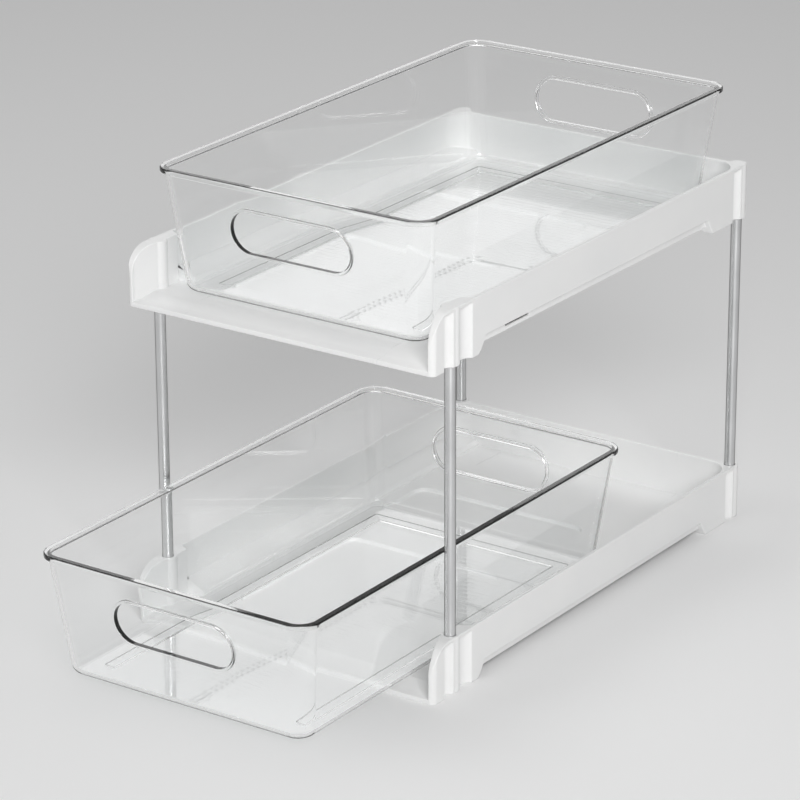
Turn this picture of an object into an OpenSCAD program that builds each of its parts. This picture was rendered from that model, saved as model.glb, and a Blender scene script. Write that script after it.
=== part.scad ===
// Two tier under sink organizer: two white trays on four chrome rods, with a clear sliding bin in each.
// Millimetres, +Z up, the open front faces -Y. The origin lies on the surface that the organizer stands
// on, in the middle of the whole outline with the lower bin drawn out.

/* [Frame] */
// Height from one tray to the next
tier_pitch = 200; // [150:5:260]
// Gap between a bin's rim and the posts on each side of it
rim_post_gap = 3.4; // [2:0.2:20]
// Distance between the front and back post axes
post_gap_y = 317.6; // [260:0.2:380]
// Diameter of a post
post_d = 6.6; // [5:0.1:8]
// Radial clearance of a post in its socket
socket_clear = 0.2; // [0.1:0.05:0.3]
// Chamfer on the ends of a post
post_chamfer = 0.6; // [0.2:0.1:1]

/* [Tray] */
// Height of a tray from its feet to its rim
tray_h = 35; // [30:1:50]
// Thickness of the side and back walls
wall = 2.5; // [1.5:0.1:3.5]
// Height of the floor's top above the feet
floor_z = 6; // [5:0.5:9]
// Thickness of the floor
floor_t = 2; // [1.2:0.1:3]
// Wall of a corner boss around its socket
boss_wall = 2; // [1.5:0.1:2.5]
// How far a corner boss stands out of the side wall
boss_out = 0.5; // [0:0.1:1]
// Distance from the back post axis to the back wall's outer face
back_reach = 0.4; // [0:0.2:2]
// Radius of the tray's upright corners
tray_r = 3.5; // [1:0.5:4]
// Depth of a socket below the tray's rim
socket_depth = 29; // [20:1:29]
// Distance from the front post axis to the front edge
wing_reach = 24; // [18:1:32]
// Thickness of the wings in front of the front posts
wing_t = 4; // [3:0.5:5]
// Radius of the wing's upper front corner
wing_r = 17; // [6:1:18]
// Straight part of the wing in front of its thickening
wing_lead = 3; // [1:0.5:8]
// Radius of the tray's inner back corners
inner_r = 16; // [14:1:20]
// Height of the side wall's lower edge between the feet
skirt_z = 10; // [8:0.5:14]
// Inset of the floor's edge below the side wall
skirt_inset = 3.7; // [2:0.1:6]
// Distance from the front post axis to the small window in the upper tray's right edge
window_y = 54; // [40:1:100]
// Length of the window
window_l = 25; // [10:1:60]
// Height of the window's sill above the feet
window_z = 6.4; // [5:0.2:6.6]
// Height of the window
window_h = 2.5; // [1:0.1:2.6]
// Length of the foot behind the front post
foot_front = 20; // [14:1:30]
// Length of the foot in front of the back post
foot_back = 37; // [30:1:60]
// Width of a foot
foot_w = 16; // [10:1:24]
// Height of the front lip
lip_h = 3; // [2:0.5:4]
// Depth of the ramp behind the front lip
ramp_y = 14; // [8:1:18]
// Height of the side ledge where it meets the wall
ledge_z = 12.5; // [10:0.5:16]
// Fall of the ledge from the wall to its inner edge
ledge_fall = 3; // [1:0.5:3]
// Front end of the ledge behind the front post axis
ledge_front = 14; // [10:1:30]
// Radius of the ledge's front end
ledge_r = 8.5; // [4:0.5:9]
// Bevel on the ledge's inner edge
ledge_bevel = 2; // [1:0.5:3]
// Gap between the ledge and the bin's bottom edge
guide_clear = 2.2; // [1:0.1:4]
// Depth of the recessed panels in the floor
panel_depth = 2.5; // [1:0.5:3]
// Corner radius of the recessed panels
panel_r = 8; // [4:1:14]
// Width of the front panel
panel_front_w = 112; // [80:1:116]
// Width of the back panel
panel_back_w = 124; // [80:1:128]
// Distance from the tray's middle to the panels' right edge
panel_right = 46; // [40:1:56]
// Gap from the front post axis to the front panel
panel_front = 20; // [14:1:30]
// Length of the front panel
panel_front_l = 120; // [80:1:130]
// Width of the floor between the two panels
panel_bridge = 46; // [20:1:60]
// Length of the back panel
panel_back_l = 50; // [30:1:90]

/* [Flutes] */
// Width of the grooves beside a boss
flute_w = 9; // [6:0.5:10]
// Depth of the grooves beside a boss
flute_depth = 3.6; // [2:0.1:4]
// How far a groove reaches in behind the boss
flute_bite = 1.4; // [0.5:0.1:2]
// How far the groove behind a front boss runs out into the side wall
flute_run = 6.5; // [4.5:0.5:7]
// Thickness of the lip that closes a groove at the rim
flute_lip = 2.3; // [1.5:0.1:4]

/* [Bin] */
// Width of a bin over its rim
bin_w = 192; // [160:1:200]
// Length of a bin over its rim
bin_l = 333; // [260:1:336]
// Height of a bin from its underside to its rim
bin_h = 76.2; // [60:0.2:100]
// Wall thickness of a bin
bin_t = 2; // [1.5:0.1:2.5]
// Lean of the bin walls
bin_lean = 6.7; // [3:0.1:8]
// Radius of the bin's upright corners
bin_r = 12; // [9:1:20]
// Radius of the bin's bottom edge
bin_bottom_r = 6; // [4:0.5:8]
// Width of the rim bead outside the wall
bead_w = 2; // [1.5:0.25:4]
// Height of the rim bead
bead_h = 3.2; // [2.6:0.2:6]
// Height of the runners under a bin
runner_h = 1.5; // [1:0.1:2.5]
// Width of a runner
runner_w = 7; // [4:0.5:10]
// Distance from the bin's middle to a runner's middle
runner_x = 68; // [55:1:72]
// Gap from the front of the rim to the front end of the runners
runner_front = 32; // [28:1:60]
// Gap from the back of the rim to the back of the runners
runner_back = 28; // [24:1:60]
// Gap between a runner and the tray floor
slide_clear = 0.3; // [0.2:0.1:0.6]
// Gap between a bin and the back wall when the bin is pushed in
back_clear = 4.5; // [1:0.5:6]
// How far the lower bin is drawn out
lower_out = 116; // [0:1:170]

/* [Handle slots] */
// Width of a handle slot
slot_w = 83; // [50:1:110]
// Height of a handle slot
slot_h = 26; // [16:1:30]
// Distance from the rim down to the middle of a slot
slot_drop = 29; // [25:0.5:36]
// Width of the collar around a slot
collar_w = 1.8; // [1:0.1:3]
// Height of the collar over the wall's face
collar_h = 1.2; // [0.6:0.1:2]

/* [Bin floor ribs] */
// Pitch of the fine ribs across the bin floor
rib_pitch = 5; // [4:0.5:10]
// Width of a fine rib
rib_w = 1.6; // [0.8:0.1:2.5]
// Height of a fine rib
rib_h = 0.2; // [0.1:0.1:0.8]
// Margin between the ribs and the bin's flat floor edge
rib_margin = 16; // [10:1:30]
// Gap between the ends of the ribs and the runners
rib_gap = 2; // [1:0.5:10]

/* [Hidden] */
$fn = 96;

white = [0.95, 0.95, 0.94];
chrome = [0.80, 0.81, 0.83];
clear = [0.88, 0.93, 0.95, 0.35];

// Depth of a cut past the face that it opens
over = 1;
// How much more a bin's upright corner stands out than its lean asks for
corner_proud = 0.04;
// Level land behind the front lip
lip_land = 2;
// Run of the curve at the end of a front foot for each millimetre of its height, and its steps
foot_curve = 0.85;
foot_steps = 12;
// Run of a back foot's sloping face for each millimetre of its height
foot_slope = 0.64;
// The ramp behind the front lip: share of its run that stays low, and the rise there
ramp_low = [0.4, 0.5];

post_x = bin_w / 2 + rim_post_gap + post_d / 2;
socket_r = post_d / 2 + socket_clear;
boss_r = socket_r + boss_wall;
out_x = post_x + boss_r - boss_out;
in_x = out_x - wall;
back_out = post_gap_y + back_reach;
back_in = back_out - wall;
post_len = tier_pitch - tray_h + 2 * socket_depth;

floor_top = floor_z;
floor_under = floor_z - floor_t;
// Front edge, width and length of each recessed panel
panels = [
    [panel_front, panel_front_w, panel_front_l],
    [panel_front + panel_front_l + panel_bridge, panel_back_w, panel_back_l]
];
flute_y = boss_r - flute_bite + flute_w / 2;
inset_x = out_x - skirt_inset;
foot_in = out_x - foot_w;
ramp_back = -wing_reach + lip_land + ramp_y;

lean = tan(bin_lean);
bin_z = floor_z + slide_clear + runner_h;
wall_x = bin_w / 2 - bead_w;
wall_y = bin_l / 2 - bead_w;
foot_x = wall_x - bin_h * lean;
foot_y = wall_y - bin_h * lean;
// Sideways radius of a bin corner, and its axis at the rim and at the top of the bottom edge
side_r = bin_r / cos(bin_lean);
rim_axis = [wall_x - side_r, wall_y - side_r];
// How far a bin's corner stands out of the faces beside it, so that the surfaces cross cleanly
blend = side_r - bin_r + corner_proud;
foot_rise = bin_bottom_r * lean;
foot_axis = [foot_x + foot_rise - side_r, foot_y + foot_rise - side_r];
flat_s = (bin_r - bin_bottom_r) / cos(bin_lean);
guide_x = foot_x + guide_clear;

// The bin's wall leans back to the tray's rim, where it comes nearest to the back wall
rim_gap = (bin_z + bin_h - tray_h) * lean;
bin_in_y = back_in - back_clear + rim_gap + bead_w - bin_l / 2;
upper_bin_y = bin_in_y;
lower_bin_y = bin_in_y - lower_out;
front_most = min(lower_bin_y - bin_l / 2, -wing_reach);
back_most = max(post_gap_y + boss_r, upper_bin_y + bin_l / 2);
mid_y = (front_most + back_most) / 2;

// A rectangle with round corners, centred on the origin
module round_rect(w, l, r) {
    square([w - 2 * r, l], center = true);
    square([w, l - 2 * r], center = true);
    for (sx = [-1, 1], sy = [-1, 1])
        translate([sx * (w / 2 - r), sy * (l / 2 - r)]) circle(r);
}

// A shape drawn in Y and Z, drawn out to both sides of the middle
module across(w) {
    translate([-w / 2, 0, 0]) rotate([90, 0, 90]) linear_extrude(w) children();
}

module tray_plan() {
    translate([0, (back_out - wing_reach) / 2])
        round_rect(2 * out_x, back_out + wing_reach, tray_r);
    for (sx = [-1, 1], y = [0, post_gap_y])
        translate([sx * post_x, y]) circle(boss_r);
}

// The tray's outline from the side, with the round upper corner of the wing in front
module tray_side() {
    difference() {
        translate([-wing_reach, 0]) square([wing_reach + post_gap_y + boss_r, tray_h]);
        translate([-wing_reach, tray_h - wing_r]) difference() {
            translate([-over, 0]) square([wing_r + over, wing_r + over]);
            translate([wing_r, 0]) circle(wing_r);
        }
    }
}

// The space between the front and back feet
module arch() {
    y0 = foot_front;
    y1 = post_gap_y - foot_back;
    polygon([
        [y0, -over],
        for (i = [0:foot_steps])
            [y0 + skirt_z * foot_curve * i / foot_steps, skirt_z * pow(i / foot_steps, 2)],
        [y1 - skirt_z * foot_slope, skirt_z],
        [y1, 0],
        [y1, -over]
    ]);
}

// The arch shows its full height in the side wall and stops at the floor further in
module arch_cut() {
    for (sx = [-1, 1]) translate([sx * (inset_x + skirt_inset), 0, 0])
        across(2 * skirt_inset) arch();
    across(2 * inset_x) intersection() {
        arch();
        translate([-wing_reach, -over]) square([2 * post_gap_y, floor_under + over]);
    }
}

// The tray's inside, open to the front, from the floor's top up
module tray_cavity() {
    difference() {
        translate([0, 0, floor_top]) linear_extrude(tray_h) difference() {
            translate([0, (back_in - wing_reach) / 2 - inner_r])
                round_rect(2 * in_x, back_in + wing_reach + 2 * inner_r, inner_r);
            pilasters();
        }
        for (side = [0, 1]) mirror([side, 0, 0]) ledge();
    }
}

// The thick parts of the side walls around the front sockets, with the wings in front of them
module pilasters() {
    for (side = [0, 1]) mirror([side, 0]) {
        translate([post_x, 0]) circle(boss_r);
        polygon([
            [out_x, -wing_reach - over],
            [out_x - wing_t, -wing_reach - over],
            [out_x - wing_t, -wing_reach + wing_lead],
            [post_x - socket_r, -socket_r],
            [post_x - socket_r, flute_y + boss_r],
            [in_x, flute_y + flute_run + wall],
            [out_x, flute_y + flute_run + wall]
        ]);
    }
}

// The sloping ledge beside the bin, with a round front end
module ledge() {
    r = ledge_r;
    edge_z = ledge_z - ledge_fall;
    intersection() {
        translate([0, ledge_front, 0]) rotate([90, 0, 0]) mirror([0, 0, 1])
            linear_extrude(back_out - ledge_front) polygon([
                [out_x, 0],
                [out_x, ledge_z],
                [in_x, ledge_z],
                [guide_x + ledge_bevel, edge_z],
                [guide_x, edge_z - ledge_bevel],
                [guide_x, 0]
            ]);
        across(2 * out_x) {
            translate([ledge_front + r, 0]) square([back_out, ledge_z]);
            translate([ledge_front + r, ledge_z - r]) circle(r);
            translate([ledge_front, 0]) square([r, ledge_z - r]);
        }
    }
}

// The floor in front falls to the front lip in a ramp
module front_ramp_cut() {
    y0 = -wing_reach + lip_land;
    difference() {
        across(2 * (out_x - wing_t)) polygon([
            [-wing_reach - over, lip_h],
            [y0, lip_h],
            [y0 + ramp_y * ramp_low[0], lip_h + ramp_low[1]],
            [ramp_back, floor_top],
            [ramp_back, floor_top + over],
            [-wing_reach - over, floor_top + over]
        ]);
        linear_extrude(tray_h) pilasters();
    }
}

// The hollow under the floor and the ramp, open to the back between the feet
module underside() {
    translate([-foot_in, ramp_back, -over])
        cube([2 * foot_in, back_out + over - ramp_back, floor_under + over]);
    across(2 * foot_in) polygon([
        [-wing_reach + floor_t, -over],
        [-wing_reach + floor_t, 0],
        [-wing_reach + 2 * floor_t, lip_h - floor_t],
        [ramp_back + over, floor_under],
        [ramp_back + over, -over]
    ]);
}

// The hollow under a ledge, between the feet
module ledge_hollow() {
    y0 = foot_front + skirt_z + floor_t;
    y1 = post_gap_y - foot_back - skirt_z;
    t = floor_t;
    translate([0, y0, 0]) rotate([90, 0, 0]) mirror([0, 0, 1]) linear_extrude(y1 - y0) polygon([
        [inset_x - t, 0],
        [inset_x - t, ledge_z - ledge_fall / 2 - t],
        [guide_x + ledge_bevel + t / 2, ledge_z - ledge_fall - t],
        [guide_x + t, floor_under],
        [guide_x + t, 0]
    ]);
}

// The small window in the floor's edge, below the right side wall, open to the hollow behind it
module window() {
    translate([inset_x - floor_t - over, window_y, window_z])
        cube([floor_t + 2 * over, window_l, window_h]);
}

// The grooves beside the bosses, closed at the rim by a thin lip
module flutes() {
    for (sx = [-1, 1], y = [0, post_gap_y], side = [-1, 1])
        if (y == 0 || side < 0) flute(sx, y, side, y == 0 && side > 0 ? flute_run : flute_w / 2);
}

// A groove. run is half its width on the side away from the boss.
module flute(sx, y, side, run) {
    r = (run * run + flute_depth * flute_depth) / (2 * flute_depth);
    difference() {
        translate([sx * (out_x + r - flute_depth), y + side * flute_y, -over])
            cylinder(h = tray_h - flute_lip + over, r = r);
        translate([sx * post_x, y, -2 * over])
            cylinder(h = tray_h + 4 * over, r = boss_r);
    }
}

// A recessed panel's tub below the floor
module panel_tub(y, w, l) {
    translate([panel_right - w / 2, y + l / 2, floor_under - panel_depth])
        linear_extrude(panel_depth + floor_t / 2)
            round_rect(w + 2 * floor_t, l + 2 * floor_t, panel_r + floor_t);
}

module panel_cut(y, w, l) {
    translate([panel_right - w / 2, y + l / 2, floor_top - panel_depth])
        linear_extrude(panel_depth + over) round_rect(w, l, panel_r);
}

module sockets(open_top) {
    z0 = open_top ? tray_h - socket_depth : -over;
    for (sx = [-1, 1], y = [0, post_gap_y])
        translate([sx * post_x, y, z0]) cylinder(h = socket_depth + over, r = socket_r);
}

module tray(open_top) {
    color(white) difference() {
        union() {
            difference() {
                intersection() {
                    linear_extrude(tray_h) tray_plan();
                    across(3 * out_x) tray_side();
                }
                tray_cavity();
                front_ramp_cut();
                arch_cut();
                underside();
                for (side = [0, 1]) mirror([side, 0, 0]) ledge_hollow();
                if (!open_top) window();
                flutes();
            }
            for (p = panels) panel_tub(p[0], p[1], p[2]);
        }
        for (p = panels) panel_cut(p[0], p[1], p[2]);
        sockets(open_top);
    }
}

module post(sx, y) {
    color(chrome) translate([sx * post_x, y, tray_h - socket_depth]) {
        cylinder(h = post_chamfer, r1 = post_d / 2 - post_chamfer, r2 = post_d / 2);
        translate([0, 0, post_chamfer]) cylinder(h = post_len - 2 * post_chamfer, r = post_d / 2);
        translate([0, 0, post_len - post_chamfer])
            cylinder(h = post_chamfer, r1 = post_d / 2, r2 = post_d / 2 - post_chamfer);
    }
}

// A shape drawn outwards from a corner's axis and up, carried round the bin's rounded rectangle
module round_bin(axis) {
    for (sx = [-1, 1], sy = [-1, 1])
        translate([sx * axis[0], sy * axis[1], 0]) rotate_extrude() children();
    for (side = [0, 1]) mirror([side, 0, 0])
        translate([axis[0], axis[1], 0]) rotate([90, 0, 0]) linear_extrude(2 * axis[1]) children();
    for (side = [0, 1]) mirror([0, side, 0])
        translate([-axis[0], axis[1], 0]) rotate([90, 0, 90]) linear_extrude(2 * axis[0]) children();
}

// The bin's rounded bottom edge. inset is 0 for the outer face and the wall thickness for the inner.
module bin_foot(inset) {
    r = bin_bottom_r - inset;
    round_bin(foot_axis) foot_section(r, inset);
    translate([-foot_axis[0], -foot_axis[1], inset]) cube([2 * foot_axis[0], 2 * foot_axis[1], r]);
}

module foot_section(r, inset) {
    touch = [flat_s + r * cos(bin_lean), bin_bottom_r - r * sin(bin_lean)];
    polygon([
        [0, inset],
        [flat_s, inset],
        touch,
        [(bin_r - inset) / cos(bin_lean), bin_bottom_r],
        [0, bin_bottom_r]
    ]);
    intersection() {
        translate([flat_s, bin_bottom_r]) circle(r);
        square([flat_s + bin_bottom_r, bin_bottom_r]);
    }
}

// The bin above its bottom edge. Each upright corner is a cylinder that leans both ways with the
// walls, so that its radius stays the same up to the rim.
module bin_upper(inset, top) {
    r = bin_r - inset;
    x = foot_x - inset / cos(bin_lean);
    y = foot_y - inset / cos(bin_lean);
    step = r * cos(bin_lean);
    leaning_block(x, y - step, top);
    leaning_block(x - step, y, top);
    intersection() {
        for (sx = [-1, 1], sy = [-1, 1]) leaning_corner(sx, sy, r, top);
        translate([-bin_w, -bin_l, bin_bottom_r])
            cube([2 * bin_w, 2 * bin_l, top - bin_bottom_r]);
    }
}

// A block whose four sides lean outwards. x and y are half its sizes at the bin's underside.
module leaning_block(x, y, top) {
    intersection() {
        rotate([90, 0, 0]) linear_extrude(2 * bin_l, center = true) leaning_area(x, top);
        rotate([90, 0, 90]) linear_extrude(2 * bin_w, center = true) leaning_area(y, top);
    }
}

module leaning_area(half, top) {
    low = half + bin_bottom_r * lean;
    high = half + top * lean;
    polygon([[-low, bin_bottom_r], [low, bin_bottom_r], [high, top], [-high, top]]);
}

module leaning_corner(sx, sy, r, top) {
    tilt = atan(sqrt(2) * lean);
    translate([sx * (foot_x - side_r), sy * (foot_y - side_r), 0])
        rotate([0, tilt, atan2(sy, sx)]) translate([0, 0, -r])
            cylinder(h = top + 4 * r, r = r + blend);
}

// The half section of the rim bead, a rounded strip outside the wall
module bead_section() {
    r = bead_w / 2;
    translate([0, bin_h - bead_h]) square([side_r + r, bead_h]);
    translate([0, bin_h - bead_h + r]) square([side_r + bead_w, bead_h - 2 * r]);
    for (z = [bin_h - bead_h + r, bin_h - r]) translate([side_r + r, z]) circle(r);
}

module bin_solid() {
    bin_foot(0);
    bin_upper(0, bin_h);
    round_bin(rim_axis) bead_section();
}

module bin_inside() {
    bin_foot(bin_t);
    bin_upper(bin_t, bin_h + over);
}

// A slot's outline in X and Z, grown by a border
module slot_outline(border) {
    h = slot_h + 2 * border;
    translate([-(slot_w - slot_h) / 2, -h / 2]) square([slot_w - slot_h, h]);
    for (sx = [-1, 1]) translate([sx * (slot_w - slot_h) / 2, 0]) circle(h / 2);
}

module slot_bar(border, depth) {
    translate([0, depth, bin_h - slot_drop]) rotate([90, 0, 0])
        linear_extrude(depth) slot_outline(border);
}

// The collars stand out from the leaning front and back walls
module collars() {
    for (side = [0, 1]) mirror([0, side, 0]) intersection() {
        translate([0, wall_y / 2, 0]) slot_bar(collar_w, bin_l);
        rotate([90, 0, 90]) linear_extrude(2 * slot_w, center = true) difference() {
            translate([collar_h, 0]) end_area();
            translate([-bin_t, 0]) end_area();
        }
    }
}

// The area inside an end wall's outer face, in Y and Z
module end_area() polygon([[0, 0], [foot_y, 0], [wall_y, bin_h], [0, bin_h]]);

module runners() {
    y0 = -bin_l / 2 + runner_front;
    y1 = bin_l / 2 - runner_back;
    for (sx = [-1, 1])
        translate([sx * runner_x - runner_w / 2, y0, -runner_h])
            cube([runner_w, y1 - y0, runner_h + bin_t / 2]);
    translate([-runner_x, y1 - runner_w, -runner_h])
        cube([2 * runner_x, runner_w, runner_h + bin_t / 2]);
}

module floor_ribs() {
    reach = foot_axis[1] + flat_s - rib_margin;
    half = floor(reach / rib_pitch);
    width = 2 * (runner_x - runner_w / 2 - rib_gap);
    for (i = [-half:half])
        translate([-width / 2, i * rib_pitch - rib_w / 2, bin_t / 2])
            cube([width, rib_w, bin_t / 2 + rib_h]);
}

module bin(y) {
    color(clear) translate([0, y, bin_z]) {
        difference() {
            union() {
                difference() {
                    bin_solid();
                    bin_inside();
                }
                collars();
            }
            translate([0, -bin_l, 0]) slot_bar(0, 2 * bin_l);
        }
        runners();
        floor_ribs();
    }
}

// Puts a piece drawn from the front post axes into the organizer's own frame
module placed(z = 0) translate([0, -mid_y, z]) children();

module lower_tray() placed() tray(true);
module upper_tray() placed(tier_pitch) tray(false);
module post_front_left() placed() post(-1, 0);
module post_front_right() placed() post(1, 0);
module post_back_left() placed() post(-1, post_gap_y);
module post_back_right() placed() post(1, post_gap_y);
module lower_bin() placed() bin(lower_bin_y);
module upper_bin() placed(tier_pitch) bin(upper_bin_y);

lower_tray();
upper_tray();
post_front_left();
post_front_right();
post_back_left();
post_back_right();
lower_bin();
upper_bin();
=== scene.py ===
import math

import bmesh
import bpy
import numpy as np
from mathutils import Matrix, Vector
from mathutils.geometry import tessellate_polygon


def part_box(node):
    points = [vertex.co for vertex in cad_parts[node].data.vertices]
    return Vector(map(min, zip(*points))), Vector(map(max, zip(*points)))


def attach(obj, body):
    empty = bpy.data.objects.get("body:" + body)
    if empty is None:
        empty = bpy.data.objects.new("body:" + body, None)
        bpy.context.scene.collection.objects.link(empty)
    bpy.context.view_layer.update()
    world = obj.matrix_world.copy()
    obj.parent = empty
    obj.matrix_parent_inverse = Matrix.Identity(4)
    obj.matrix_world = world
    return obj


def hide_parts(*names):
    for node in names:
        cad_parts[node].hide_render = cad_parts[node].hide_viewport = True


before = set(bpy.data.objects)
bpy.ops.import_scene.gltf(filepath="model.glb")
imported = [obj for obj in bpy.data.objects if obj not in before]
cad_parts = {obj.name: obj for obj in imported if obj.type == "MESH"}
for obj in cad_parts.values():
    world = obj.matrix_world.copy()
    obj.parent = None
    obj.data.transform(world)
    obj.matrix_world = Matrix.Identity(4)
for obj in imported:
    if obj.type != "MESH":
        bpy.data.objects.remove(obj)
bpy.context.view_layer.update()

# ---------------------------------------------------------------------------------------------
# The camera: a long lens that looks down on the front right corner of the organizer, so that the
# open fronts of both trays, the right hand walls and the insides of both bins show at once.
# ---------------------------------------------------------------------------------------------
post_low, post_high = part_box("post_front_left")
front_post_y = (post_low.y + post_high.y) / 2
aim = np.array([0.0, front_post_y + 0.120, 0.135])
shift_across, shift_up, distance = 0.0121, 0.0152, 2.331
focal_pixels, frame_pixels, sensor_wide = 3876, 800, 36
turn, rise, roll = (math.radians(a) for a in (34.78, 20.90, -0.25))
back = np.array([math.sin(turn) * math.cos(rise), -math.cos(turn) * math.cos(rise), math.sin(rise)])
level = np.array([math.cos(turn), math.sin(turn), 0.0])
upright = np.cross(back, level)
across = math.cos(roll) * level + math.sin(roll) * upright
up = math.cos(roll) * upright - math.sin(roll) * level
eye = aim - shift_across * across - shift_up * up + distance * back

camera_data = bpy.data.cameras.new("camera")
camera_data.sensor_width = sensor_wide
camera_data.lens = focal_pixels / frame_pixels * sensor_wide
camera_data.clip_start = 0.1
camera_data.clip_end = 50
camera = bpy.data.objects.new("camera", camera_data)
bpy.context.scene.collection.objects.link(camera)
placed = np.vstack([np.stack([across, up, back, eye], -1), (0, 0, 0, 1)])
camera.matrix_world = Matrix(placed.tolist())
bpy.context.scene.camera = camera

# ---------------------------------------------------------------------------------------------
# The two white trays: satin polypropylene, each moulded in one piece with its ledges, floor
# panels, front wings and the four bosses that take the rods. Every outer edge is softened by the
# mould. The finish is slightly uneven, with a fine grain and faint polished tracks from the bins.
# ---------------------------------------------------------------------------------------------


class Wire:
    """A shader value that does arithmetic: an expression on wires adds its Math nodes."""

    def __init__(self, finish, socket):
        self.finish = finish
        self.socket = socket

    def maths(self, operation, first, second):
        return self.finish.node("Math", {"operation": operation}, {0: first, 1: second})

    def __add__(self, other):
        return self.maths("ADD", self, other)

    def __sub__(self, other):
        return self.maths("SUBTRACT", self, other)

    def __mul__(self, other):
        return self.maths("MULTIPLY", self, other)


class Finish:
    """A material and its shader nodes."""

    def __init__(self, name):
        self.material = bpy.data.materials.new(name)
        self.material.use_nodes = True
        self.tree = self.material.node_tree
        self.tree.nodes.clear()

    def node(self, kind, settings=None, sockets=None, out=0):
        """Adds a node of a type, with settings and sockets' values or wires, and gives an output."""
        added = self.tree.nodes.new("ShaderNode" + kind)
        for key, value in (settings or {}).items():
            setattr(added, key, value)
        for key, value in (sockets or {}).items():
            if isinstance(value, Wire):
                self.tree.links.new(value.socket, added.inputs[key])
            else:
                added.inputs[key].default_value = value
        return Wire(self, added.outputs[out])

    def place(self):
        """The point on the piece, in metres."""
        return self.node("TexCoord", out="Object")

    def noise(self, place, scale, detail=2.0, roughness=0.5):
        return self.node("TexNoise", None, {
            "Vector": place, "Scale": scale, "Detail": detail, "Roughness": roughness})

    def ramp(self, value, low, high, to_low=0.0, to_high=1.0):
        """Carries a value from one range to another, held at both ends."""
        return self.node("MapRange", {"clamp": True}, {
            "Value": value, "From Min": low, "From Max": high, "To Min": to_low, "To Max": to_high})

    def shade(self, value, dark, light):
        """A colour between dark and light."""
        return self.node("Mix", {"data_type": "RGBA"}, {0: value, 6: dark, 7: light}, out=2)

    def surface(self, shader):
        end = self.tree.nodes.new("ShaderNodeOutputMaterial")
        self.tree.links.new(shader.socket, end.inputs["Surface"])


def soft_copy(node, name, edge, sharp=28):
    """A copy of a solid with its triangles merged into whole faces and its sharp edges rounded."""
    mesh = bpy.data.meshes.new(name)
    work = bmesh.new()
    work.from_mesh(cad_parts[node].data)
    bmesh.ops.remove_doubles(work, verts=work.verts, dist=2e-6)
    bmesh.ops.dissolve_limit(
        work, angle_limit=math.radians(0.4), verts=work.verts, edges=work.edges)
    work.to_mesh(mesh)
    work.free()
    mesh.shade_smooth()
    mesh.set_sharp_from_angle(angle=math.radians(sharp))
    piece = bpy.data.objects.new(name, mesh)
    bpy.context.scene.collection.objects.link(piece)
    if edge:
        bevel = piece.modifiers.new("soft_edges", "BEVEL")
        bevel.width = edge
        bevel.segments = 3
        bevel.limit_method = "ANGLE"
        bevel.angle_limit = math.radians(sharp)
        bevel.use_clamp_overlap = False
    shading = piece.modifiers.new("even_shading", "WEIGHTED_NORMAL")
    shading.mode = "FACE_AREA"
    shading.weight = 100
    shading.keep_sharp = True
    return piece


white_plastic = Finish("white_polypropylene")
point = white_plastic.place()
cloud = white_plastic.noise(point, 22, 3)
grain = white_plastic.noise(point, 1900, 2, 0.6)
ripple = white_plastic.noise(point, 60, 1)
runner_side = 0.068
along_x = white_plastic.node("SeparateXYZ", None, {0: point}, out="X")
side_x = white_plastic.node("Math", {"operation": "ABSOLUTE"}, {0: along_x})
offset = white_plastic.node("Math", {"operation": "ABSOLUTE"}, {0: side_x - runner_side})
track = white_plastic.ramp(offset, 0.0028, 0.0042, 1.0, 0.0)
streaks = white_plastic.noise(
    white_plastic.node("Mapping", None, {"Vector": point, "Scale": (900, 14, 14)}), 1, 2)
polish = track * white_plastic.ramp(streaks, 0.40, 0.65)
colour = white_plastic.shade(
    white_plastic.ramp(cloud, 0.3, 0.7), (0.865, 0.868, 0.868, 1), (0.90, 0.90, 0.895, 1))
relief = white_plastic.node("Bump", None, {
    "Strength": 0.35, "Distance": 0.00003, "Height": grain * 0.6 + ripple * 1.6})
white_plastic.surface(white_plastic.node("BsdfPrincipled", None, {
    "Base Color": colour,
    "Roughness": white_plastic.ramp(cloud + grain * 0.4, 0.4, 1.0, 0.30, 0.40) - polish * 0.08,
    "IOR": 1.49,
    "Normal": relief,
}))

for node, body in (("lower_tray", "frame"), ("upper_tray", "frame")):
    tray = soft_copy(node, "moulded_" + node, 0.0005)
    tray.data.materials.append(white_plastic.material)
    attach(tray, body)
    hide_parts(node)

# ---------------------------------------------------------------------------------------------
# The four posts: drawn steel rods with a bright chrome plating, their ends turned to a small
# chamfer. They push into the blind sockets of the bosses and are held there by a close fit alone.
# ---------------------------------------------------------------------------------------------
rod_names = ("post_front_left", "post_front_right", "post_back_left", "post_back_right")
rod_sides = 96


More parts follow.
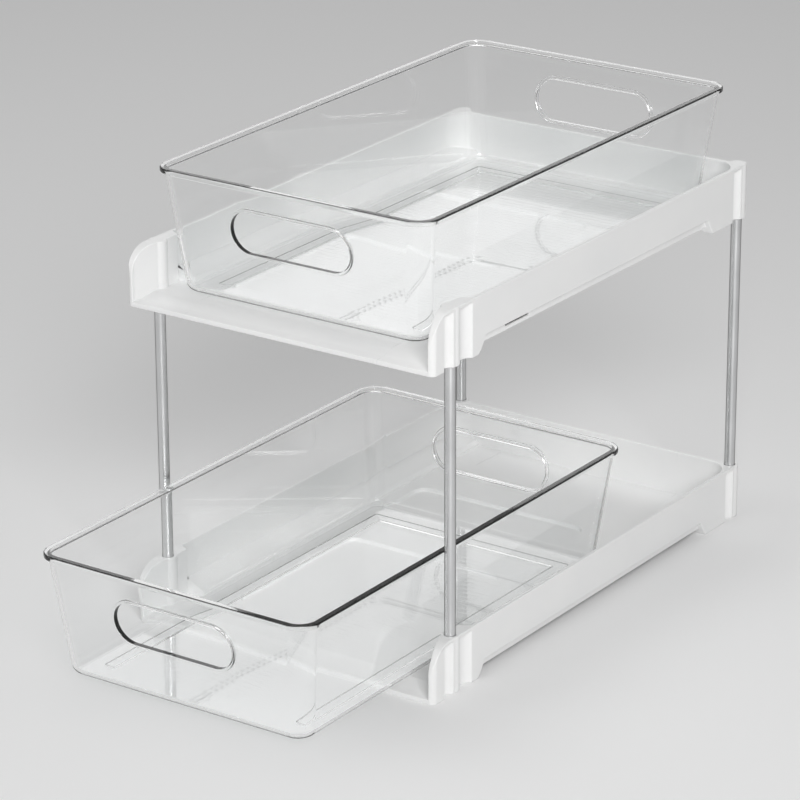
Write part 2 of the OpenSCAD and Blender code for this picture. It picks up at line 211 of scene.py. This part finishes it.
def turned_rod(name, low, high, chamfer=0.0006, soft=0.00018):
    """A profile turned round an upright axis: at each height z the points (r cos a, r sin a, z),
    closed at both ends by a ring of radius zero."""
    middle = (low + high) / 2
    radius = (high.x - low.x) / 2
    half = np.array([
        (0, 0), (radius - chamfer - soft, 0), (radius - chamfer, soft * 0.3),
        (radius - soft * 0.3, chamfer), (radius, chamfer + soft), (radius, chamfer + soft * 6)])
    length = high.z - low.z
    other = half[::-1] * (1, -1) + (0, length)
    profile = np.vstack([half, [(radius, length / 2)], other])
    angle = np.arange(rod_sides) * 2 * math.pi / rod_sides
    inner = profile[1:-1]
    x = middle.x + inner[:, :1] * np.cos(angle)
    y = middle.y + inner[:, :1] * np.sin(angle)
    z = np.repeat(low.z + inner[:, 1:], rod_sides, axis=1)
    rings = np.stack([x, y, z], axis=-1).reshape(-1, 3)
    poles = np.array([(middle.x, middle.y, low.z), (middle.x, middle.y, high.z)])
    ring = np.arange(rod_sides)
    after = np.roll(ring, -1)
    rows = np.arange(len(inner) - 1)[:, None] * rod_sides
    above = rows + rod_sides
    sides = np.stack([rows + ring, rows + after, above + after, above + ring], -1)
    top = (len(inner) - 1) * rod_sides
    count = len(rings)
    lower_cap = np.stack([np.full(rod_sides, count), after, ring], -1)
    upper_cap = np.stack([np.full(rod_sides, count + 1), top + ring, top + after], -1)
    mesh = bpy.data.meshes.new(name)
    mesh.from_pydata(
        np.vstack([rings, poles]).tolist(), [],
        sides.reshape(-1, 4).tolist() + lower_cap.tolist() + upper_cap.tolist())
    mesh.shade_smooth()
    mesh.set_sharp_from_angle(angle=math.radians(35))
    rod = bpy.data.objects.new(name, mesh)
    bpy.context.scene.collection.objects.link(rod)
    return rod


chrome_plate = Finish("bright_chrome")
point = chrome_plate.place()
drawn = chrome_plate.noise(
    chrome_plate.node("Mapping", None, {"Vector": point, "Scale": (2400, 2400, 30)}), 1, 2)
haze = chrome_plate.noise(point, 45, 2)
chrome_plate.surface(chrome_plate.node("BsdfPrincipled", None, {
    "Base Color": chrome_plate.shade(
        chrome_plate.ramp(haze, 0.3, 0.7), (0.62, 0.625, 0.63, 1), (0.70, 0.705, 0.71, 1)),
    "Metallic": 1.0,
    "Specular Tint": (0.10, 0.09, 0.08, 1),
    "Anisotropic": 0.9,
    "Anisotropic Rotation": 0.25,
    "Roughness": chrome_plate.ramp(haze + drawn * 0.5, 0.5, 1.0, 0.20, 0.25),
    "Normal": chrome_plate.node("Bump", None, {
        "Strength": 0.12, "Distance": 0.00001, "Height": drawn}),
}))

for node in rod_names:
    rod = turned_rod("chromed_" + node, *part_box(node))
    rod.data.materials.append(chrome_plate.material)
    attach(rod, "frame")
    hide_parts(node)

# ---------------------------------------------------------------------------------------------
# The two clear bins: injection moulded crystal plastic, with leaning walls, a rounded bead round
# the rim, a collared handle slot in the front and back walls, two runners joined by a bar below
# the floor, and fine ribs across the floor. Each only rests on its tray and slides in it.
# ---------------------------------------------------------------------------------------------
lean_angle = 6.7
bin_lean, bin_cos = math.tan(math.radians(lean_angle)), math.cos(math.radians(lean_angle))
bin_high, bin_wall, bead_wide, bead_high = 0.0762, 0.002, 0.002, 0.0032
wall_half = np.array([0.096, 0.1665]) - bead_wide
foot_half = wall_half - bin_high * bin_lean
corner_round, edge_round = 0.012, 0.006
corner_out, wall_across = corner_round / bin_cos, bin_wall / bin_cos
edge_axis = foot_half + edge_round * bin_lean - corner_out
edge_flat = (corner_round - edge_round) / bin_cos
soft = 0.0004
corner_steps = 20


def arc(middle, radius, start, stop, steps=5):
    """Points on an arc, middle + radius (cos a, sin a), for a from start to stop in degrees."""
    a = np.radians(np.linspace(start, stop, steps + 1))
    return np.asarray(middle) + radius * np.stack([np.cos(a), np.sin(a)], -1)


def bin_rings():
    """The bin's section carried round its outline. A point of the section gives half sizes, a
    corner radius and a height: a ring has four quarter circles of that radius, whose middles lie
    the radius in from the half sizes. The corner radius stays the same up the leaning walls."""
    rim = bin_high - bead_high
    under = arc((edge_flat, edge_round), edge_round, -90, -lean_angle, 8)
    inner = arc((edge_flat, edge_round), edge_round - bin_wall, -lean_angle, -90, 8)
    bead = np.vstack([
        [(rim * bin_lean - bin_high * bin_lean + soft, rim)],
        arc((bead_wide / 2, rim + bead_wide / 2), bead_wide / 2, -90, 0),
        arc((bead_wide / 2, bin_high - bead_wide / 2), bead_wide / 2, 0, 90),
        arc((soft - wall_across, bin_high - soft), soft, 90, 180)])
    low, high = rim - soft, bin_high - 3 * soft
    half = np.vstack([
        edge_axis + under[:, :1], [foot_half + low * bin_lean], wall_half + bead[:, :1],
        [foot_half + high * bin_lean - wall_across], edge_axis + inner[:, :1]])
    radius = np.concatenate([
        under[:, 0], [corner_out], corner_out + bead[:, 0],
        [corner_out - wall_across], inner[:, 0]])
    height = np.concatenate([under[:, 1], [low], bead[:, 1], [high], inner[:, 1]])
    turn = np.radians(np.linspace(0, 90, corner_steps + 1))
    turn = (np.arange(4)[:, None] * math.pi / 2 + turn).ravel()
    side = np.repeat([(1, 1), (-1, 1), (-1, -1), (1, -1)], corner_steps + 1, axis=0)
    circle = np.stack([np.cos(turn), np.sin(turn)], -1)
    flat = side * (half[:, None] - radius[:, None, None]) + radius[:, None, None] * circle
    upright = np.broadcast_to(height[:, None, None], flat.shape[:2] + (1,))
    rings = np.concatenate([flat, upright], -1)
    return rings, len(under) - 1, len(under) + len(bead) + 1


def slot_rings(collar_wide=0.0018, collar_out=0.0012, length=0.083, high=0.026, middle=0.0472):
    """The collar's section carried round the slot: two half circles joined by straight lines, all
    on the front wall's leaning face, y = -(foot + z * lean + how far the point stands out)."""
    section = np.vstack([
        arc((collar_wide + soft, soft), soft, -90, -180, 3),
        arc((collar_wide - soft, collar_out - soft), soft, 0, 90, 4),
        arc((soft, collar_out - soft), soft, 90, 180, 4),
        arc((soft, soft - wall_across), soft, 180, 270, 4)])
    a = np.radians(np.linspace(-90, 90, 29))
    radius = high / 2 + section[:, :1]
    half = (length - high) / 2
    x = np.hstack([half + radius * np.cos(a), -half - radius * np.cos(a)])
    z = middle + np.hstack([radius * np.sin(a), -radius * np.sin(a)])
    return np.stack([x, -(foot_half[1] + z * bin_lean + section[:, 1:]), z], -1)


def runner_rings(out=0.0015, wide=0.007, front=-0.1345, rear=0.1385, bend=0.0012):
    """The runners' edge section carried round a U: at each corner a quarter circle, whose middle
    lies the bend in from both sides. It shrinks by the inset outside the U and grows inside."""
    outer, inner, bar = runner_side + wide / 2, runner_side - wide / 2, rear - wide
    corner = np.array([
        (outer, front), (outer, rear), (-outer, rear), (-outer, front),
        (-inner, front), (-inner, bar), (inner, bar), (inner, front)])
    leave = np.sign(np.roll(corner, -1, axis=0) - corner)
    enter = np.roll(leave, 1, axis=0)
    left = enter[:, 0] * leave[:, 1] - enter[:, 1] * leave[:, 0]
    section = np.vstack([
        arc((-soft, -soft), soft, 90, 0, 3), arc((soft, soft - out), soft, 180, 270, 4)])
    quarter = np.linspace(0, math.pi / 2, 5)
    a = np.arctan2(-leave[:, 1], -leave[:, 0])[:, None] + left[:, None] * quarter
    radius = bend - left[None, :, None] * section[:, :1, None]
    middle = corner + bend * (leave - enter)
    x = (middle[None, :, :1] + radius * np.cos(a)).reshape(len(section), -1)
    y = (middle[None, :, 1:] + radius * np.sin(a)).reshape(len(section), -1)
    return np.stack([x, y, np.broadcast_to(section[:, 1:], x.shape)], -1)


def rib_sheet(pitch=0.005, wide=0.0018, high=0.00003, reach=0.0625, each_side=26):
    """The ribbed part of the floor: z = wall + high * (1 + cos(2 pi y / wide)) / 2 over each rib,
    which fades to nothing at both ends of the rib."""
    across_rib = np.linspace(-wide / 2, wide / 2, 9)
    y = (np.arange(-each_side, each_side + 1)[:, None] * pitch + across_rib).ravel()
    rise = np.tile((1 + np.cos(2 * math.pi * across_rib / wide)) / 2, 2 * each_side + 1)
    y = np.concatenate([[y[0] - pitch / 2], y, [y[-1] + pitch / 2]])
    rise = np.concatenate([[0], rise, [0]])
    ends = np.linspace(0, 0.0015, 5)
    fade = (1 - np.cos(math.pi * ends / ends[-1])) / 2
    x = np.concatenate([ends - reach, (reach - ends)[::-1]])
    fade = np.concatenate([fade, fade[::-1]])
    flat = np.broadcast_arrays(x[None, :], y[:, None], bin_wall + high * rise[:, None] * fade)
    return np.stack(flat, -1)


class Shell:
    """Points and faces of one closed surface, joined up from rings."""

    def __init__(self):
        self.points, self.faces, self.count = [], [], 0

    def add(self, rings):
        number = np.arange(rings.size // 3).reshape(rings.shape[:-1]) + self.count
        self.points.append(rings.reshape(-1, 3))
        self.count += number.size
        return number

    def join(self, rings, closed=True, gaps=()):
        """Four-sided faces between each ring and the next, without those in gaps."""
        after = np.roll(rings, -1, axis=1) if closed else rings[:, 1:]
        here = rings if closed else rings[:, :-1]
        faces = np.stack([here[:-1], after[:-1], after[1:], here[1:]], -1)
        keep = np.ones(faces.shape[:2], bool)
        for ring, place in gaps:
            keep[ring, place] = False
        self.faces += faces[keep].tolist()

    def fill(self, *outlines):
        """A flat face inside the first outline and outside the others."""
        points = np.vstack(self.points)
        number = np.concatenate(outlines)
        drawn = [[Vector(p) for p in points[outline]] for outline in outlines]
        self.faces += number[np.array(tessellate_polygon(drawn))].tolist()


def clear_bin(name, low, high):
    """One bin, as a single closed surface with its underside's middle at the given box."""
    shell = Shell()
    rings, foot, top = bin_rings()
    rings = shell.add(rings)
    back_place, front_place = corner_steps, 3 * corner_steps + 2
    places = (back_place, front_place)
    shell.join(rings, gaps=[(ring, place) for ring in (foot, top) for place in places])
    slot = slot_rings()
    for place, turned in ((front_place, (1, 1, 1)), (back_place, (-1, -1, 1))):
        collar = shell.add(slot * turned)
        shell.join(collar)
        for ring, edge in ((foot, collar[0]), (top, collar[-1])):
            corners = [ring, ring, ring + 1, ring + 1], [place, place + 1, place + 1, place]
            shell.fill(rings[corners], edge)
    runners = shell.add(runner_rings())
    shell.join(runners)
    shell.fill(runners[-1])
    shell.fill(rings[0], runners[0])
    ribs = shell.add(rib_sheet())
    shell.join(ribs, closed=False)
    border = np.concatenate([ribs[0, :-1], ribs[:-1, -1], ribs[-1, :0:-1], ribs[:0:-1, 0]])
    shell.fill(rings[-1], border)
    points = np.vstack(shell.points) + (0, (low.y + high.y) / 2, high.z - bin_high)
    mesh = bpy.data.meshes.new(name)
    mesh.from_pydata(points.tolist(), [], shell.faces)
    work = bmesh.new()
    work.from_mesh(mesh)
    bmesh.ops.recalc_face_normals(work, faces=work.faces)
    work.to_mesh(mesh)
    work.free()
    mesh.shade_smooth()
    made = bpy.data.objects.new(name, mesh)
    bpy.context.scene.collection.objects.link(made)
    shading = made.modifiers.new("even_shading", "WEIGHTED_NORMAL")
    shading.mode = "FACE_AREA"
    shading.weight = 100
    return made


clear_plastic = Finish("clear_crystal_plastic")
point = clear_plastic.place()
sag = clear_plastic.noise(point, 16, 1)
smear = clear_plastic.noise(point, 70, 3)
body_shader = clear_plastic.node("BsdfPrincipled", None, {
    "Base Color": (0.994, 0.996, 0.996, 1),
    "Roughness": clear_plastic.ramp(smear, 0.45, 0.8, 0.0, 0.03),
    "IOR": 1.50,
    "Transmission Weight": 1.0,
    "Normal": clear_plastic.node("Bump", None, {
        "Strength": 0.10, "Distance": 0.0006, "Height": sag}),
})
path = clear_plastic.tree.nodes.new("ShaderNodeLightPath")
unseen = clear_plastic.node("Math", {"operation": "MAXIMUM"}, {
    0: Wire(clear_plastic, path.outputs["Is Shadow Ray"]),
    1: Wire(clear_plastic, path.outputs["Is Diffuse Ray"])})
depth_limit = 8.5
trapped = clear_plastic.node("Math", {"operation": "GREATER_THAN"}, {
    0: Wire(clear_plastic, path.outputs["Ray Depth"]), 1: depth_limit})
unseen = clear_plastic.node("Math", {"operation": "MAXIMUM"}, {0: unseen, 1: trapped})
through = clear_plastic.node("BsdfTransparent", None, {"Color": (0.955, 0.96, 0.96, 1)})
clear_plastic.surface(clear_plastic.node("MixShader", None, {
    0: unseen, 1: body_shader, 2: through}))

for node, body in (("lower_bin", "lower_drawer"), ("upper_bin", "upper_drawer")):
    bin_shell = clear_bin("clear_" + node, *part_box(node))
    bin_shell.data.materials.append(clear_plastic.material)
    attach(bin_shell, body)
    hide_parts(node)

# ---------------------------------------------------------------------------------------------
# The studio: a plain pale floor under a pale sky, with four large soft lamps.
# ---------------------------------------------------------------------------------------------
floor_mesh = bpy.data.meshes.new("studio_floor")
floor_mesh.from_pydata(
    [(-6, -6, 0), (6, -6, 0), (6, 6, 0), (-6, 6, 0)], [], [(0, 1, 2, 3)])
floor = bpy.data.objects.new("studio_floor", floor_mesh)
bpy.context.scene.collection.objects.link(floor)
paper = Finish("studio_paper")
paper.surface(paper.node("BsdfPrincipled", None, {
    "Base Color": (0.92, 0.92, 0.92, 1), "Roughness": 0.7, "Specular IOR Level": 0.2}))
floor_mesh.materials.append(paper.material)


def soft_lamp(name, place, target, size, power, colour=(1, 1, 1)):
    """A square lamp that faces its target."""
    data = bpy.data.lights.new(name, "AREA")
    data.shape = "RECTANGLE"
    data.size, data.size_y = size
    data.energy = power
    data.color = colour
    lamp = bpy.data.objects.new(name, data)
    bpy.context.scene.collection.objects.link(lamp)
    lamp.location = place
    away = Vector(place) - Vector(target)
    lamp.rotation_mode = "QUATERNION"
    lamp.rotation_quaternion = away.to_track_quat("Z", "Y")


centre = (0, 0, 0.14)
soft_lamp("key_lamp", (1.55, -1.55, 1.35), centre, (1.0, 1.0), 38)
soft_lamp("fill_lamp", (-1.9, -1.5, 1.0), centre, (1.5, 1.2), 8)
soft_lamp("top_lamp", (-0.3, 0.4, 2.4), centre, (1.2, 1.2), 13)
soft_lamp("back_lamp", (-1.9, 2.7, 1.45), centre, (1.8, 1.2), 6)

sky = bpy.data.worlds.new("studio_sky")
bpy.context.scene.world = sky
sky.use_nodes = True
nodes, links = sky.node_tree.nodes, sky.node_tree.links
background = nodes["Background"]
background.inputs["Color"].default_value = (0.62, 0.62, 0.62, 1)
# The sky lights the object at its lighting strength and is seen, also in metal and plastic, at 1
lighting = 0.3
path = nodes.new("ShaderNodeLightPath")
metal, plastic, strength = (nodes.new("ShaderNodeMath") for _ in range(3))
metal.operation = plastic.operation = "MAXIMUM"
strength.operation = "MULTIPLY_ADD"
strength.inputs[1].default_value = 1 - lighting
strength.inputs[2].default_value = lighting
links.new(path.outputs["Is Camera Ray"], metal.inputs[0])
links.new(path.outputs["Is Glossy Ray"], metal.inputs[1])
links.new(metal.outputs[0], plastic.inputs[0])
links.new(path.outputs["Is Transmission Ray"], plastic.inputs[1])
links.new(plastic.outputs[0], strength.inputs[0])
links.new(strength.outputs[0], background.inputs["Strength"])

bpy.context.scene.view_settings.view_transform = "Standard"
